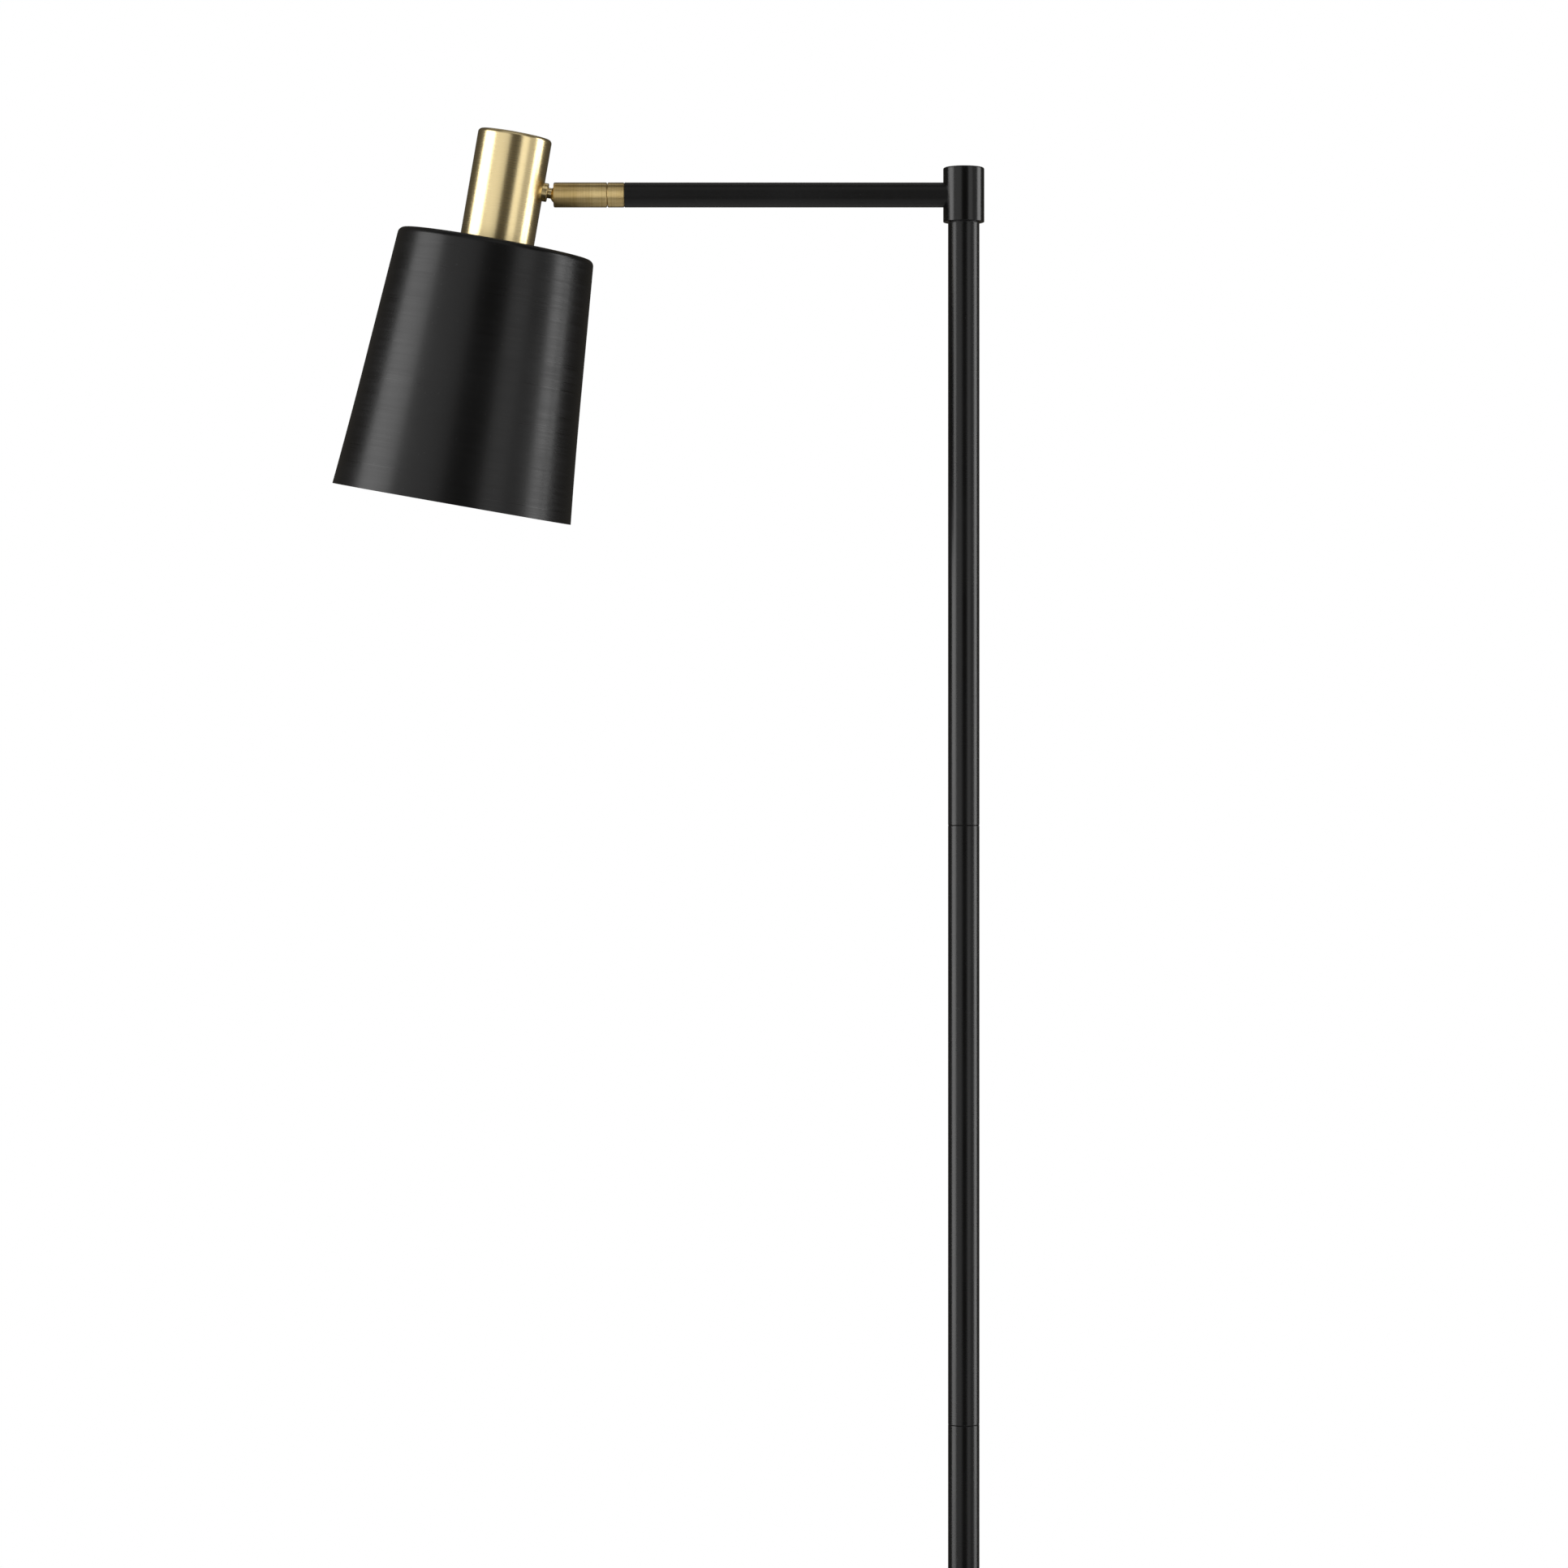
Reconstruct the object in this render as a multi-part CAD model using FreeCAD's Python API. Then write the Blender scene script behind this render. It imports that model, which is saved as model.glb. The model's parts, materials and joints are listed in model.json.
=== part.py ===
import FreeCAD, Part
import math
import os

os.makedirs("parts", exist_ok=True)

# Adjustable arm floor lamp, in millimetres.
# Frame: origin at the centre of the base's underside, +Z up the pole, the arm runs to -X.

# ---- base -------------------------------------------------------------------------------
BASE_R = 127.0
BASE_TOP_Z = 22.1
COVER_WALL = 1.2
COVER_EDGE_ROUND = 5.0
COVER_RIM_Z = 2.0
PAD_R = 122.5
PAD_T = 3.0
WEIGHT_R = 118.0
WEIGHT_EDGE_ROUND = 3.0
WEIGHT_HOLLOW_IN_R = 32.0
WEIGHT_HOLLOW_OUT_R = 96.0
WEIGHT_HOLLOW_DEPTH = 6.0
WEIGHT_WEB_Z = 17.0          # underside of the iron left under the pole
HUB_RECESS_R = 16.0
CHANNEL_W = 9.0              # slot in the iron from the middle to the rear, for the lead
CHANNEL_START_Y = 6.0
CHANNEL_TOP_Z = 14.0
INLET_Z = 9.0                # height of the cord inlet in the rear of the cover
INLET_BORE_R = 3.2
GROMMET_R = 4.4
GROMMET_FLANGE_R = 6.3
GROMMET_FLANGE_T = 1.4

# ---- pole -------------------------------------------------------------------------------
POLE_R = 9.525
POLE_BORE_R = 8.325
SECTION_L = 363.2
TOP_SECTION_L = 365.0
JOINT_ROUND = 0.45
COUPLER_L = 40.0
COUPLER_BORE_R = 4.5
FOOT_STUD_R = 5.0
FOOT_STUD_BORE_R = 2.6
FOOT_STUD_Z = (10.0, 48.0)
FOOT_PLUG_L = 24.0
BASE_NUT_AF = 17.0
BASE_NUT_Z = (10.5, 15.3)
BASE_WASHER_R = 14.0

# ---- swivel on the pole top -------------------------------------------------------------
POLE_TOP_Z = BASE_TOP_Z + 3 * SECTION_L + TOP_SECTION_L
GLIDE_T = 0.75
GLIDE_R = 8.6
FACE_GAP = 0.05              # working gap between flat faces that slide
COLLAR_Z0 = POLE_TOP_Z + GLIDE_T + FACE_GAP
COLLAR_H = 33.0
COLLAR_Z1 = COLLAR_Z0 + COLLAR_H
COLLAR_R = 12.45
COLLAR_BORE_R = 10.5
COLLAR_FLOOR_T = 3.5
COLLAR_EDGE_ROUND = 1.0
CAP_T = 3.0
CAP_CROWN = 0.4
CAP_DROP = 0.2               # edge of the cap below the collar's top face
SPINDLE_R = 4.0
SPINDLE_BORE_R = 2.3
RUN_FIT = 0.05               # radial clearance of a turning fit
BUSH_R = 5.5
INSERT_L = 22.0
SPINDLE_BELOW = 16.0
FRICTION_R = 6.9
FRICTION_T = 0.7
STOP_WASHER_R = 6.6
STOP_WASHER_T = 1.0
STOP_TAB_R = 9.3
STOP_TAB_W = 3.0
STOP_PIN_R = 1.0
STOP_PIN_X = 8.6
STOP_PIN_SUNK = 2.3          # depth pressed into the collar's floor
STOP_PIN_PROUD = 3.2
SPINDLE_NUT_AF = 12.0
SPINDLE_NUT_T = 3.5
SPINDLE_PROUD = 0.8          # spindle above its nut

# ---- arm --------------------------------------------------------------------------------
ARM_Z = COLLAR_Z0 + COLLAR_H / 2
ARM_R = 7.53
ARM_BORE_R = 6.53
ARM_END = 205.7              # distances along the arm are from the pole axis
ROOT_NIPPLE_R = 5.0
ROOT_NIPPLE_BORE_R = 2.6
ROOT_NIPPLE_SPAN = (9.2, 27.0)
ROOT_PLUG_SPAN = (14.5, 25.0)
BRASS_R = 7.55
FERRULE_END = 216.0
FERRULE_SPIGOT = 13.0
EDGE_CHAMFER = 0.35
SHANK_R = 4.5
SHANK_BORE_R = 2.2
SHANK_START = 195.0
SHANK_END = 232.0
SHANK_FLANGE_R = 6.0
SHANK_FLANGE_T = 2.5

# ---- ball socket ------------------------------------------------------------------------
SLEEVE_START = 216.3
SLEEVE_END = 248.7
SLEEVE_BORE_R = 6.3
SLEEVE_NOSE_ROUND = 2.3
BALL_AT = 245.0
BALL_R = 6.0
BALL_FIT = 0.06
MOUTH_R = 5.0
RETAINER_SPAN = (224.5, SHANK_END - SHANK_FLANGE_T - FACE_GAP)
RETAINER_SLOT_W = 1.6
RETAINER_SLOT_DEPTH = 1.2
SEAT_SPAN = (236.6, 242.4)
SEAT_R = 6.2
SEAT_HOLE_R = 3.4
SPRING_COUNT = 3
SPRING_IN_R = 3.5
SPRING_OUT_R = 6.0
SPRING_T = 0.6
SPRING_CONE = 0.85
SPRING_GAP = 0.02

# ---- head: built upright about the ball centre, then tilted -----------------------------
HEAD_TILT = 10.0             # bottom of the shade swung outward, away from the pole
HEAD_ROLL = 3.0              # and turned a little about the arm
HEAD_OFFSET = 32.7           # ball centre to the axis of cup and shade
NECK_R = 3.2
STUD_BORE_R = 1.9
STUD_FLARE_R = 2.9
STUD_FLARE_DEPTH = 2.2
STUD_END = 17.0
FLANGE_R = 5.65
FLANGE_T = 2.7
FLANGE_ROUND = 0.5
COPE = 2.0                   # extra length cut back to the cup's curved wall
CUP_R = 22.55
CUP_WALL = 1.2
CUP_TOP = 31.6
CUP_EDGE_ROUND = 2.5
CUP_RIM_CHAMFER = 0.4
SHADE_TOP = -35.5
STUD_WASHER_R = 6.0
STUD_WASHER_T = 2.1
STUD_NUT_AF = 10.0
STUD_NUT_T = 3.2

BRIDGE_Z = 12.0
BRIDGE_T = 1.5
BRIDGE_W = 14.0
BRIDGE_TAB = 8.0
HOLDER_NIPPLE_R = 5.0
HOLDER_NIPPLE_BORE_R = 2.8
HOLDER_NIPPLE_Z = (-8.0, 17.6)
HOLDER_NUT_AF = 14.0
HOLDER_NUT_T = 2.6
HOLDER_R = 19.2
HOLDER_DOME_R = 12.0
HOLDER_DOME_Z = -3.0
HOLDER_SHOULDER_Z = -10.5
HOLDER_BOTTOM_Z = -52.0
HOLDER_BORE_R = 15.6
HOLDER_FLOOR_Z = (-17.0, -14.0)
HOLDER_POCKET_R = 9.5
HOLDER_ROUND = 2.0
SHELL_R = 13.9
SHELL_WALL = 0.4
SHELL_Z = (-46.0, -17.0)
SHELL_HOLE_R = 10.0          # opening in the shell's end for the contact and screws
CONTACT_W = 5.0
CONTACT_L = 15.0
TERMINAL_R = 2.0
TERMINAL_X = 6.5
TERMINAL_HEAD_T = 1.6

SHADE_TOP_R = 59.8
SHADE_RIM_R = 73.4
SHADE_H = 160.2
SHADE_WALL = 0.8
SHADE_EDGE_ROUND = 4.0
SHADE_HOLE_R = 20.0
SHADE_STRAIGHT_H = 84.0      # the upper part is a plain cone, below it the side flares
SHADE_CONE_ANGLE = 4.55
RING_R = 28.0
RING_T = 2.0
RING_HUB_R = 22.5
RING_H = 6.0

BULB_BASE_R = 13.05
BULB_BASE_Z = (-43.0, -19.0)
BULB_TIP_Z = -17.4
BULB_TIP_R = 4.8
BULB_BASE_WALL = 0.4
BULB_SHOULDER_H = 4.0
BULB_SHOULDER_IN = 3.0       # shoulder's top beyond the tip's radius
BULB_TIP_TAPER = 1.2
BULB_R = 30.0
BULB_NECK_R = 13.0
BULB_LENGTH = 107.0
BULB_WALL = 0.8

# ---- internal leads ---------------------------------------------------------------------
LEAD_R = 1.5
LEAD_Z = 5.5
LEAD_START_Y = 116.0
BASE_BEND = 5.0
ARM_BEND = 8.0
STUD_BEND = 4.0
LEAD_RISE_X = 21.0
LEAD_LOOP_Z = 18.6
LEAD_GAP = 0.5
LEAD_TAIL = 3.0              # lead hanging below the holder's nipple

V = FreeCAD.Vector
O = V(0, 0, 0)
X = V(1, 0, 0)
Y = V(0, 1, 0)
Z = V(0, 0, 1)
BALL_CENTRE = V(-BALL_AT, 0, ARM_Z)


def disc(radius, z0, z1, at=O):
    """Upright cylinder from height z0 to z1."""
    return Part.makeCylinder(radius, z1 - z0, V(at.x, at.y, z0), Z)


def ring(outer, inner, z0, z1, at=O):
    return disc(outer, z0, z1, at).cut(disc(inner, z0 - 1, z1 + 1, at))


def hexagon(across_flats, z0, z1, bore):
    """Hexagon nut about Z with its corners turned off."""
    corner_r = across_flats / math.sqrt(3)
    off = corner_r * 0.08
    turns = [math.radians(60 * i) for i in range(7)]
    corners = [V(corner_r * math.cos(a), corner_r * math.sin(a), z0) for a in turns]
    body = Part.Face(Part.makePolygon(corners)).extrude(V(0, 0, z1 - z0))
    lens = turned([(0, z0), (corner_r - off, z0), (corner_r, z0 + off / 2),
                   (corner_r, z1 - off / 2), (corner_r - off, z1), (0, z1)])
    return body.common(lens).cut(disc(bore, z0 - 1, z1 + 1))


def is_rim(edge):
    return edge.Curve.TypeId == "Part::GeomCircle"


def rims(shape, z, radius):
    """Circular edges of the shape at one height and radius."""
    found = []
    for e in shape.Edges:
        if is_rim(e) and abs(e.Curve.Radius - radius) < 1e-3 and abs(e.Curve.Center.z - z) < 1e-3:
            found.append(e)
    return found


def turned(outline):
    """Solid turned about Z from (radius, height) points. A triple is a helper point between its
    neighbours: 'arc' lies on a circular arc, 'bend' is where the end tangents of a curve meet."""
    pts = [V(p[0], 0, p[1]) for p in outline]
    edges = []
    i = 0
    while i < len(pts):
        here = pts[i]
        nxt = (i + 1) % len(pts)
        if len(outline[nxt]) == 3:
            end = pts[(i + 2) % len(pts)]
            if outline[nxt][2] == "arc":
                edges.append(Part.Arc(here, pts[nxt], end).toShape())
            else:
                curve = Part.BezierCurve()
                curve.setPoles([here, pts[nxt], end])
                edges.append(curve.toShape())
            i += 2
        else:
            edges.append(Part.makeLine(here, pts[nxt]))
            i += 1
    face = Part.Face(Part.Wire(edges))
    return face.revolve(O, Z, 360)


def along_arm(shape):
    """Lays an upright turned piece on the arm axis; its height becomes distance from the pole."""
    shape.rotate(O, Y, -90)
    shape.translate(V(0, 0, ARM_Z))
    return shape


def along_stud(shape):
    """Lays an upright turned piece along the ball stud in the upright head."""
    shape.rotate(O, Y, -90)
    return shape


def on_cup_axis(shape):
    shape.translate(V(-HEAD_OFFSET, 0, 0))
    return shape


def in_head(shape):
    """Takes a piece of the upright head to its place: tilted in the arm's plane, then rolled."""
    shape.rotate(O, Y, HEAD_TILT)
    shape.rotate(O, X, HEAD_ROLL)
    shape.translate(BALL_CENTRE)
    return shape


def lead(corners, bends, radius):
    """Round lead along straight runs joined by tangent arcs at the inner corners."""
    edges = []
    start = corners[0]
    for i in range(1, len(corners) - 1):
        into = (corners[i] - corners[i - 1]).normalize()
        out = (corners[i + 1] - corners[i]).normalize()
        half = math.acos(max(-1.0, min(1.0, into.dot(out)))) / 2
        reach = bends[i - 1] * math.tan(half)
        first = corners[i] - into * reach
        last = corners[i] + out * reach
        inward = (out - into).normalize()
        centre = corners[i] + inward * (bends[i - 1] / math.cos(half))
        middle = centre - inward * bends[i - 1]
        if (first - start).Length > 1e-3:
            edges.append(Part.makeLine(start, first))
        edges.append(Part.Arc(first, middle, last).toShape())
        start = last
    if (corners[-1] - start).Length > 1e-3:
        edges.append(Part.makeLine(start, corners[-1]))
    heading = (corners[1] - corners[0]).normalize()
    section = Part.Wire(Part.makeCircle(radius, corners[0], heading))
    return Part.Wire(edges).makePipeShell([section], True, True)


def save(name, shape):
    shape.exportStep("parts/" + name + ".step")


# ---- stand ------------------------------------------------------------------------------
def base_cover():
    outer = disc(BASE_R, COVER_RIM_Z, BASE_TOP_Z)
    outer = outer.makeFillet(COVER_EDGE_ROUND, rims(outer, BASE_TOP_Z, BASE_R))
    inner_r = BASE_R - COVER_WALL
    inner_top = BASE_TOP_Z - COVER_WALL
    inner = disc(inner_r, 0, inner_top)
    inner = inner.makeFillet(COVER_EDGE_ROUND - COVER_WALL, rims(inner, inner_top, inner_r))
    inlet = Part.makeCylinder(GROMMET_R, 20, V(0, BASE_R - 15, INLET_Z), Y)
    return outer.cut(inner).cut(disc(FOOT_STUD_R, 0, BASE_TOP_Z + 1)).cut(inlet)


def base_weight():
    top = BASE_TOP_Z - COVER_WALL
    body = disc(WEIGHT_R, PAD_T, top)
    body = body.makeFillet(WEIGHT_EDGE_ROUND, rims(body, top, WEIGHT_R))
    body = body.cut(ring(WEIGHT_HOLLOW_OUT_R, WEIGHT_HOLLOW_IN_R, 0, PAD_T + WEIGHT_HOLLOW_DEPTH))
    body = body.cut(disc(HUB_RECESS_R, 0, WEIGHT_WEB_Z))
    body = body.cut(disc(FOOT_STUD_R, 0, BASE_TOP_Z))
    channel = Part.makeBox(CHANNEL_W, WEIGHT_R, CHANNEL_TOP_Z, V(-CHANNEL_W / 2, CHANNEL_START_Y, 0))
    return body.cut(channel)


def cord_grommet():
    wall_out = disc(BASE_R, -20, 60)
    wall_in = disc(BASE_R - COVER_WALL, -20, 60)
    inner_face = BASE_R - COVER_WALL - GROMMET_FLANGE_T
    outer_face = BASE_R + GROMMET_FLANGE_T
    seat = V(0, inner_face, INLET_Z)
    barrel = Part.makeCylinder(GROMMET_R, outer_face - inner_face, seat, Y)
    flanges = Part.makeCylinder(GROMMET_FLANGE_R, outer_face - inner_face, seat, Y)
    flanges = flanges.cut(wall_out.cut(wall_in))
    bore = Part.makeCylinder(INLET_BORE_R, 20, V(0, inner_face - 5, INLET_Z), Y)
    return barrel.fuse(flanges).cut(bore).removeSplitter()


def pole_section(z0, z1, round_low, round_high):
    """Tube with its outer edge eased wherever it meets another section."""
    tube = ring(POLE_R, POLE_BORE_R, z0, z1)
    if round_low:
        tube = tube.makeFillet(JOINT_ROUND, rims(tube, z0, POLE_R))
    if round_high:
        tube = tube.makeFillet(JOINT_ROUND, rims(tube, z1, POLE_R))
    return tube


def couplers():
    solids = []
    for n in (1, 2, 3):
        z = BASE_TOP_Z + n * SECTION_L
        solids.append(ring(POLE_BORE_R, COUPLER_BORE_R, z - COUPLER_L / 2, z + COUPLER_L / 2))
    return Part.makeCompound(solids)


def stop_washer(z0):
    z1 = z0 + STOP_WASHER_T
    tab = Part.makeBox(STOP_TAB_R, STOP_TAB_W, STOP_WASHER_T, V(-STOP_TAB_R, -STOP_TAB_W / 2, z0))
    plate = disc(STOP_WASHER_R, z0, z1).fuse(tab.common(disc(STOP_TAB_R, z0, z1)))
    return plate.cut(disc(SPINDLE_R, z0 - 1, z1 + 1)).removeSplitter()


def build_stand():
    save("base_cover", base_cover())
    save("base_weight", base_weight())
    save("base_pad", disc(PAD_R, 0, PAD_T))
    save("cord_grommet", cord_grommet())
    save("base_nut", hexagon(BASE_NUT_AF, BASE_NUT_Z[0], BASE_NUT_Z[1], FOOT_STUD_R))
    save("base_washer", ring(BASE_WASHER_R, FOOT_STUD_R, BASE_NUT_Z[1], WEIGHT_WEB_Z))
    save("foot_stud", ring(FOOT_STUD_R, FOOT_STUD_BORE_R, FOOT_STUD_Z[0], FOOT_STUD_Z[1]))
    save("foot_plug", ring(POLE_BORE_R, FOOT_STUD_R, BASE_TOP_Z, BASE_TOP_Z + FOOT_PLUG_L))
    names = ("pole_lower", "pole_lower_mid", "pole_upper_mid", "pole_upper")
    for i, name in enumerate(names):
        z0 = BASE_TOP_Z + i * SECTION_L
        z1 = POLE_TOP_Z if i == 3 else z0 + SECTION_L
        save(name, pole_section(z0, z1, i > 0, i < 3))
    save("pole_couplers", couplers())
    save("pole_top_insert", ring(POLE_BORE_R, SPINDLE_R, POLE_TOP_Z - INSERT_L, POLE_TOP_Z))
    save("glide_washer", ring(GLIDE_R, SPINDLE_R, POLE_TOP_Z, POLE_TOP_Z + GLIDE_T))
    z = COLLAR_Z0 + COLLAR_FLOOR_T + FACE_GAP
    save("friction_washer", ring(FRICTION_R, SPINDLE_R, z, z + FRICTION_T))
    z += FRICTION_T
    save("stop_washer", stop_washer(z))
    z += STOP_WASHER_T
    save("spindle_nut", hexagon(SPINDLE_NUT_AF, z, z + SPINDLE_NUT_T, SPINDLE_R))
    spindle_top = z + SPINDLE_NUT_T + SPINDLE_PROUD
    save("swivel_spindle", ring(SPINDLE_R, SPINDLE_BORE_R, POLE_TOP_Z - SPINDLE_BELOW, spindle_top))
    lead_top = ARM_Z - ARM_BEND - 2 * LEAD_GAP
    route = [V(0, LEAD_START_Y, LEAD_Z), V(0, 0, LEAD_Z), V(0, 0, lead_top)]
    save("pole_lead", lead(route, [BASE_BEND], LEAD_R))


# ---- arm --------------------------------------------------------------------------------
def collar():
    body = disc(COLLAR_R, COLLAR_Z0, COLLAR_Z1)
    body = body.makeFillet(COLLAR_EDGE_ROUND, rims(body, COLLAR_Z1, COLLAR_R))
    body = body.makeFillet(EDGE_CHAMFER, rims(body, COLLAR_Z0, COLLAR_R))
    body = body.cut(disc(COLLAR_BORE_R, COLLAR_Z0 + COLLAR_FLOOR_T, COLLAR_Z1 + 1))
    body = body.cut(disc(BUSH_R, COLLAR_Z0 - 1, COLLAR_Z1))
    body = body.cut(stop_pin())
    return body.cut(along_arm(disc(ROOT_NIPPLE_R, COLLAR_R / 2, COLLAR_R + 1)))


def collar_cap():
    """Plug in the top of the collar with a slightly domed face."""
    top = COLLAR_Z1 - CAP_DROP + CAP_CROWN
    dome_r = (COLLAR_BORE_R ** 2 + CAP_CROWN ** 2) / (2 * CAP_CROWN)
    plug = disc(COLLAR_BORE_R, COLLAR_Z1 - CAP_T, COLLAR_Z1 + 1)
    return plug.common(Part.makeSphere(dome_r, V(0, 0, top - dome_r)))


def stop_pin():
    floor_z = COLLAR_Z0 + COLLAR_FLOOR_T
    return disc(STOP_PIN_R, floor_z - STOP_PIN_SUNK, floor_z + STOP_PIN_PROUD, V(STOP_PIN_X, 0, 0))


def arm_tube():
    tube = ring(ARM_R, ARM_BORE_R, 0, ARM_END)
    tube = tube.makeFillet(EDGE_CHAMFER, rims(tube, ARM_END, ARM_R))
    return along_arm(tube).cut(disc(COLLAR_R, COLLAR_Z0, COLLAR_Z1))


def ferrule():
    c = EDGE_CHAMFER
    spigot = ARM_END - FERRULE_SPIGOT
    return along_arm(turned([
        (SHANK_R, spigot), (ARM_BORE_R, spigot), (ARM_BORE_R, ARM_END), (BRASS_R - c, ARM_END),
        (BRASS_R, ARM_END + c), (BRASS_R, FERRULE_END - c), (BRASS_R - c, FERRULE_END),
        (SHANK_R, FERRULE_END)]))


def swivel_shank():
    flange_at = SHANK_END - SHANK_FLANGE_T
    return along_arm(turned([
        (SHANK_BORE_R, SHANK_START), (SHANK_R, SHANK_START), (SHANK_R, flange_at),
        (SHANK_FLANGE_R, flange_at), (SHANK_FLANGE_R, SHANK_END), (SHANK_BORE_R, SHANK_END)]))


def build_arm():
    save("collar", collar())
    save("collar_cap", collar_cap())
    floor_z = COLLAR_Z0 + COLLAR_FLOOR_T
    save("swivel_bush", ring(BUSH_R, SPINDLE_R + RUN_FIT, COLLAR_Z0, floor_z))
    save("stop_pin", stop_pin())
    save("arm_tube", arm_tube())
    a, b = ROOT_NIPPLE_SPAN
    save("arm_root_nipple", along_arm(ring(ROOT_NIPPLE_R, ROOT_NIPPLE_BORE_R, a, b)))
    a, b = ROOT_PLUG_SPAN
    save("arm_root_plug", along_arm(ring(ARM_BORE_R, ROOT_NIPPLE_R, a, b)))
    save("ferrule", ferrule())
    save("swivel_shank", swivel_shank())
    low = ARM_Z - ARM_BEND - LEAD_GAP
    end = BALL_AT - BALL_R - LEAD_GAP
    route = [V(0, 0, low), V(0, 0, ARM_Z), V(-end, 0, ARM_Z)]
    save("arm_lead", lead(route, [ARM_BEND], LEAD_R))


# ---- ball socket ------------------------------------------------------------------------
def socket_sleeve():
    body = disc(BRASS_R, SLEEVE_START, SLEEVE_END)
    body = body.makeFillet(SLEEVE_NOSE_ROUND, rims(body, SLEEVE_END, BRASS_R))
    body = body.makeChamfer(EDGE_CHAMFER, rims(body, SLEEVE_START, BRASS_R))
    body = body.cut(disc(SLEEVE_BORE_R, SLEEVE_START - 1, BALL_AT))
    body = body.cut(Part.makeSphere(BALL_R + BALL_FIT, V(0, 0, BALL_AT)))
    return along_arm(body.cut(disc(MOUTH_R, BALL_AT, SLEEVE_END + 1)))


def retainer():
    a, b = RETAINER_SPAN
    body = ring(SLEEVE_BORE_R, SHANK_R + RUN_FIT, a, b)
    slot = Part.makeBox(30, RETAINER_SLOT_W, RETAINER_SLOT_DEPTH, V(-15, -RETAINER_SLOT_W / 2, a))
    return along_arm(body.cut(slot))


def ball_seat():
    body = ring(SEAT_R, SEAT_HOLE_R, SEAT_SPAN[0], SEAT_SPAN[1])
    return along_arm(body.cut(Part.makeSphere(BALL_R + BALL_FIT, V(0, 0, BALL_AT))))


def spring_washers():
    """Three disc springs stacked face about between the shank's flange and the ball seat."""
    solids = []
    pitch = (SEAT_SPAN[0] - SHANK_END) / SPRING_COUNT
    for n in range(SPRING_COUNT):
        low = SHANK_END + n * pitch + SPRING_GAP
        inner_low = low if n % 2 else low + SPRING_CONE
        outer_low = low + SPRING_CONE if n % 2 else low
        solids.append(along_arm(turned([
            (SPRING_IN_R, inner_low), (SPRING_OUT_R, outer_low),
            (SPRING_OUT_R, outer_low + SPRING_T), (SPRING_IN_R, inner_low + SPRING_T)])))
    return Part.makeCompound(solids)


def build_socket():
    save("socket_sleeve", socket_sleeve())
    save("retainer", retainer())
    save("ball_seat", ball_seat())
    save("spring_washers", spring_washers())


# ---- head -------------------------------------------------------------------------------
def cup_solid(radius):
    """Upright cylinder of the cup, much taller than the cup, for coping pieces to its wall."""
    return on_cup_axis(disc(radius, -60, 60))


def ball_stud():
    body = disc(NECK_R, 0, STUD_END).fuse(Part.makeSphere(BALL_R, O)).removeSplitter()
    body = body.cut(disc(STUD_BORE_R, -BALL_R - 1, STUD_END + 1))
    flare = Part.makeCone(STUD_FLARE_R, STUD_BORE_R, STUD_FLARE_DEPTH, V(0, 0, -BALL_R), Z)
    return along_stud(body.cut(flare))


def neck_flange():
    near = HEAD_OFFSET - CUP_R
    body = ring(FLANGE_R, NECK_R, near - FLANGE_T, near + COPE)
    front = near - FLANGE_T
    body = body.makeFillet(FLANGE_ROUND, rims(body, front, FLANGE_R))
    return along_stud(body).cut(cup_solid(CUP_R))


def stud_washer():
    near = HEAD_OFFSET - CUP_R + CUP_WALL
    body = along_stud(ring(STUD_WASHER_R, NECK_R, near - COPE, near + STUD_WASHER_T))
    return body.common(cup_solid(CUP_R - CUP_WALL))


def stud_nut():
    a = HEAD_OFFSET - CUP_R + CUP_WALL + STUD_WASHER_T
    return along_stud(hexagon(STUD_NUT_AF, a, a + STUD_NUT_T, NECK_R))


def cup():
    outer = disc(CUP_R, SHADE_TOP, CUP_TOP)
    outer = outer.makeFillet(CUP_EDGE_ROUND, rims(outer, CUP_TOP, CUP_R))
    outer = outer.makeChamfer(CUP_RIM_CHAMFER, rims(outer, SHADE_TOP, CUP_R))
    inner_r = CUP_R - CUP_WALL
    inner_top = CUP_TOP - CUP_WALL
    inner = disc(inner_r, SHADE_TOP - 1, inner_top)
    inner = inner.makeFillet(CUP_EDGE_ROUND - CUP_WALL, rims(inner, inner_top, inner_r))
    shell = on_cup_axis(outer.cut(inner))
    return shell.cut(along_stud(disc(NECK_R, 0, STUD_END)))


def holder_bridge():
    """Steel strap across the inside of the cup with its ends turned down along the wall."""
    inner_r = CUP_R - CUP_WALL
    z1 = BRIDGE_Z + BRIDGE_T
    slab = Part.makeBox(BRIDGE_W, 2 * inner_r, BRIDGE_TAB + BRIDGE_T,
                        V(-BRIDGE_W / 2, -inner_r, BRIDGE_Z - BRIDGE_TAB))
    hollow = disc(inner_r - BRIDGE_T, 0, BRIDGE_Z)
    strap = slab.common(disc(inner_r, 0, z1)).cut(hollow)
    return on_cup_axis(strap.cut(disc(HOLDER_NIPPLE_R, 0, z1 + 1)))


def holder_nuts():
    top = BRIDGE_Z + BRIDGE_T
    over = hexagon(HOLDER_NUT_AF, top, top + HOLDER_NUT_T, HOLDER_NIPPLE_R)
    under = hexagon(HOLDER_NUT_AF, BRIDGE_Z - HOLDER_NUT_T, BRIDGE_Z, HOLDER_NIPPLE_R)
    return on_cup_axis(Part.makeCompound([over, under]))


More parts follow.
